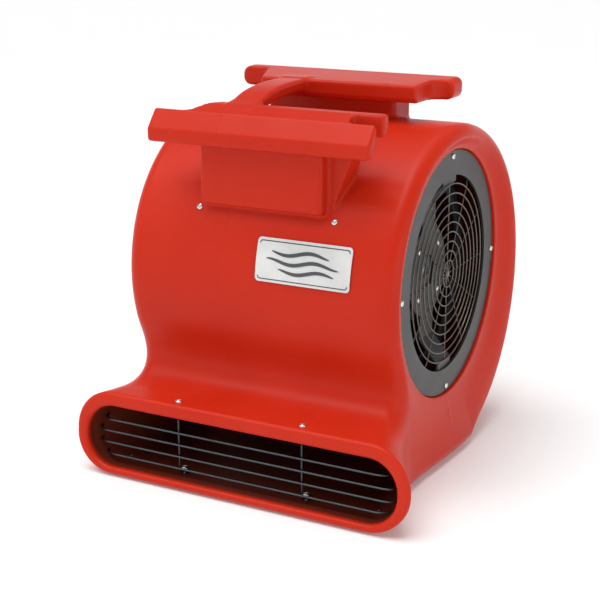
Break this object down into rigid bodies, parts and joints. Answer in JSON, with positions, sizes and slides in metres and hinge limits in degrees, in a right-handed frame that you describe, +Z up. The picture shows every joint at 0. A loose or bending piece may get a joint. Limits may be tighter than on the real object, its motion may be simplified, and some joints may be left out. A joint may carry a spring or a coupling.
{
  "type": "air mover",
  "caption": "Floor-standing centrifugal air mover: moulded scroll housing with carry handle and cord-wrap horns, wide flat outlet, double-inlet blower wheel driven by a central motor.",
  "frame": {"origin": "middle of the bounding box on the floor, under the feet", "axes": "+Z up, the outlet faces -Y, the wheel's axis runs along X with the motor's intake at +X"},
  "size_m": [0.488, 0.5029, 0.5145],
  "materials": {
    "red_polyethylene": "moulded, satin, faintly mottled",
    "dark_grey_paint": "powder coat, semi-matt",
    "black_plastic": "moulded, fine grain",
    "grey_wire": "coated wire, satin",
    "zinc_plated_steel": "bright zinc plate",
    "bare_steel": "machined",
    "motor_paint": "satin paint",
    "cast_aluminium": "as cast",
    "black_rubber": "matt",
    "label_film": "printed film",
    "insulating_plastic": "moulded"
  },
  "bodies": {
    "casing": {"housing": "red_polyethylene", "intake_ring_right": "dark_grey_paint", "intake_ring_left": "dark_grey_paint", "intake_guard_right": "grey_wire", "intake_guard_left": "grey_wire", "outlet_grille": "grey_wire", "outlet_top_screw_left": "zinc_plated_steel", "outlet_top_screw_right": "zinc_plated_steel", "outlet_bottom_bolt_left": "zinc_plated_steel", "outlet_bottom_bolt_right": "zinc_plated_steel", "motor_bracket": "dark_grey_paint", "motor_stator": "motor_paint", "motor_inner_bell": "motor_paint", "motor_outer_bell": "motor_paint", "inner_bearing": "bare_steel", "outer_bearing": "bare_steel", "wiring_tray": "dark_grey_paint", "run_capacitor": "black_plastic", "terminal_block": "insulating_plastic", "control_panel": "dark_grey_paint", "switch_body": "insulating_plastic", "cable_gland": "black_plastic", "gland_nut": "black_plastic", "label_plate": "label_film", "panel_screw_1": "zinc_plated_steel", "panel_screw_2": "zinc_plated_steel", "intake_screw_right_1": "zinc_plated_steel", "intake_screw_right_2": "zinc_plated_steel", "intake_screw_right_3": "zinc_plated_steel", "intake_screw_right_4": "zinc_plated_steel", "intake_screw_left_1": "zinc_plated_steel", "intake_screw_left_2": "zinc_plated_steel", "intake_screw_left_3": "zinc_plated_steel", "intake_screw_left_4": "zinc_plated_steel", "tray_screw_1": "zinc_plated_steel", "tray_screw_2": "zinc_plated_steel", "tray_screw_3": "zinc_plated_steel", "tray_screw_4": "zinc_plated_steel", "motor_bolt_1": "zinc_plated_steel", "motor_bolt_2": "zinc_plated_steel", "motor_bolt_3": "zinc_plated_steel", "motor_bolt_4": "zinc_plated_steel", "foot_front_left": "black_rubber", "foot_screw_front_left": "zinc_plated_steel", "foot_front_right": "black_rubber", "foot_screw_front_right": "zinc_plated_steel", "foot_rear_left": "black_rubber", "foot_screw_rear_left": "zinc_plated_steel", "foot_rear_right": "black_rubber", "foot_screw_rear_right": "zinc_plated_steel"},
    "rotor": {"blower_wheel": "black_plastic", "wheel_hub": "cast_aluminium", "hub_set_screw": "bare_steel", "motor_shaft": "bare_steel", "motor_rotor": "bare_steel"},
    "knob": {"speed_knob": "black_plastic"}
  },
  "joints": [
    {"name": "wheel_spin", "type": "hinge", "parent": "casing", "child": "rotor", "pos_m": [0, 0.018, 0.262], "axis": [1, 0, 0], "continuous": true},
    {"name": "knob_turn", "type": "hinge", "parent": "casing", "child": "knob", "pos_m": [0, 0.0805, 0.4705], "axis": [0, 1, 0], "range_deg": [0, 90]}
  ]
}
